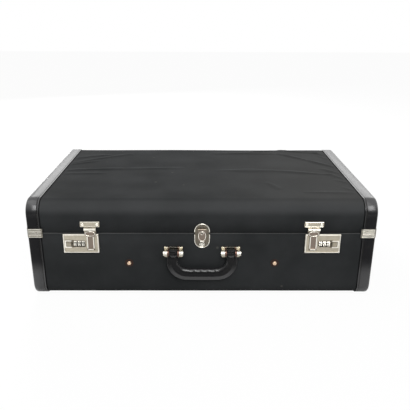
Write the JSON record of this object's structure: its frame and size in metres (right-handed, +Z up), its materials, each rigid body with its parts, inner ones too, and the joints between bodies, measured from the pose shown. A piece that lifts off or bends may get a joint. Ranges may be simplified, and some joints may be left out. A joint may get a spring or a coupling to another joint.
{
  "type": "suitcase",
  "caption": "Hard-board suitcase lying flat: rounded cloth-covered case with leather-bound ends, back-hinged lid, combination latches, a key lock and a swinging front handle.",
  "frame": {"origin": "under the middle of the case, on the floor that it lies on", "axes": "+X to the right along the case's length, +Y to its back where the lid is hinged, +Z up; the handle and latches face -Y"},
  "size_m": [0.6516, 0.4313, 0.195],
  "materials": {
    "cloth": "closely woven coated cloth, charcoal black, slightly worn",
    "board": "pressed fibreboard, raw",
    "lining": "thin woven lining, grey-brown, matt",
    "mouth_strip": "bent aluminium strip, dull",
    "leather": "black polished leather, softly creased",
    "strap": "woven webbing",
    "washer": "dark brown leather disc",
    "copper": "coppery brass, rubbed",
    "dial": "warm nickel-plated brass with dark numbers",
    "steel": "plain steel",
    "nickel": "warm nickel plate on brass, slightly worn"
  },
  "bodies": {
    "base": {"back_feet": "nickel", "base_binding_left": "leather", "base_binding_right": "leather", "base_clips": "nickel", "base_cover": "cloth", "base_lining": "lining", "base_mouth_strip": "mouth_strip", "base_shell": "board", "dial_axle_left": "steel", "dial_axle_right": "steel", "handle_bracket_left": "nickel", "handle_bracket_right": "nickel", "handle_pin_left": "steel", "handle_pin_right": "steel", "hinge_base_leaf_left": "nickel", "hinge_base_leaf_right": "nickel", "hinge_pins": "steel", "key_lock_case": "steel", "key_lock_plate": "nickel", "lock_case_left": "steel", "lock_case_right": "steel", "lock_plate_left": "nickel", "lock_plate_right": "nickel", "packing_strap_left": "strap", "packing_strap_right": "strap", "strap_buckles": "nickel", "strap_studs": "copper", "stud_washers": "washer"},
    "hasp_left_flap": {"hasp_left": "nickel"},
    "hasp_right_flap": {"hasp_right": "nickel"},
    "key_hasp_flap": {"key_hasp": "nickel"},
    "slide_left": {"slide_button_left": "nickel", "slide_bolt_left": "steel"},
    "slide_right": {"slide_button_right": "nickel", "slide_bolt_right": "steel"},
    "plug": {"key_plug": "nickel"},
    "key_lock_bolt": {"key_bolt": "steel"},
    "handle": {"handle_grip": "leather", "handle_collars": "nickel"},
    "lid": {"lid_shell": "board", "lid_cover": "cloth", "lid_lining": "lining", "lid_binding_left": "leather", "lid_binding_right": "leather", "lid_clips": "nickel", "catch_plate_left": "nickel", "catch_plate_right": "nickel", "catch_rivets": "nickel", "hasp_pins": "steel", "key_catch_plate": "nickel", "hinge_lid_leaf_left": "nickel", "hinge_lid_leaf_right": "nickel"},
    "dial_left_1_wheel": {"dial_left_1": "dial"},
    "dial_left_2_wheel": {"dial_left_2": "dial"},
    "dial_left_3_wheel": {"dial_left_3": "dial"},
    "dial_right_1_wheel": {"dial_right_1": "dial"},
    "dial_right_2_wheel": {"dial_right_2": "dial"},
    "dial_right_3_wheel": {"dial_right_3": "dial"}
  },
  "joints": [
    {"name": "lid_hinge", "type": "hinge", "parent": "base", "child": "lid", "pos_m": [0, 0.2055, 0.133], "axis": [-1, 0, 0], "range_deg": [0, 100]},
    {"name": "hasp_left_hinge", "type": "hinge", "parent": "lid", "child": "hasp_left_flap", "pos_m": [-0.208, -0.2045, 0.141], "axis": [-1, 0, 0], "range_deg": [0, 150]},
    {"name": "hasp_right_hinge", "type": "hinge", "parent": "lid", "child": "hasp_right_flap", "pos_m": [0.208, -0.2045, 0.141], "axis": [-1, 0, 0], "range_deg": [0, 150]},
    {"name": "key_hasp_hinge", "type": "hinge", "parent": "lid", "child": "key_hasp_flap", "pos_m": [0, -0.2048, 0.141], "axis": [-1, 0, 0], "range_deg": [0, 140]},
    {"name": "slide_left_travel", "type": "slide", "parent": "base", "child": "slide_left", "axis": [1, 0, 0], "range_m": [0, 0.0035]},
    {"name": "slide_right_travel", "type": "slide", "parent": "base", "child": "slide_right", "axis": [-1, 0, 0], "range_m": [0, 0.0035]},
    {"name": "key_plug_turn", "type": "hinge", "parent": "base", "child": "plug", "pos_m": [0, -0.2009, 0.1103], "axis": [0, -1, 0], "range_deg": [0, 90]},
    {"name": "key_bolt_travel", "type": "slide", "parent": "base", "child": "key_lock_bolt", "axis": [-1, 0, 0], "range_m": [0, 0.00393]},
    {"name": "handle_swing", "type": "hinge", "parent": "base", "child": "handle", "pos_m": [0, -0.2109, 0.096], "axis": [-1, 0, 0], "range_deg": [0, 140]},
    {"name": "dial_left_1_turn", "type": "hinge", "parent": "base", "child": "dial_left_1_wheel", "pos_m": [-0.222, -0.199, 0.1117], "axis": [1, 0, 0], "continuous": true},
    {"name": "dial_left_2_turn", "type": "hinge", "parent": "base", "child": "dial_left_2_wheel", "pos_m": [-0.2294, -0.199, 0.1117], "axis": [1, 0, 0], "continuous": true},
    {"name": "dial_left_3_turn", "type": "hinge", "parent": "base", "child": "dial_left_3_wheel", "pos_m": [-0.2368, -0.199, 0.1117], "axis": [1, 0, 0], "continuous": true},
    {"name": "dial_right_1_turn", "type": "hinge", "parent": "base", "child": "dial_right_1_wheel", "pos_m": [0.222, -0.199, 0.1117], "axis": [1, 0, 0], "continuous": true},
    {"name": "dial_right_2_turn", "type": "hinge", "parent": "base", "child": "dial_right_2_wheel", "pos_m": [0.2294, -0.199, 0.1117], "axis": [1, 0, 0], "continuous": true},
    {"name": "dial_right_3_turn", "type": "hinge", "parent": "base", "child": "dial_right_3_wheel", "pos_m": [0.2368, -0.199, 0.1117], "axis": [1, 0, 0], "continuous": true}
  ],
  "couplings": [
    {"joint": "key_plug_turn", "follows": "key_bolt_travel", "rad_per_m": 400}
  ]
}
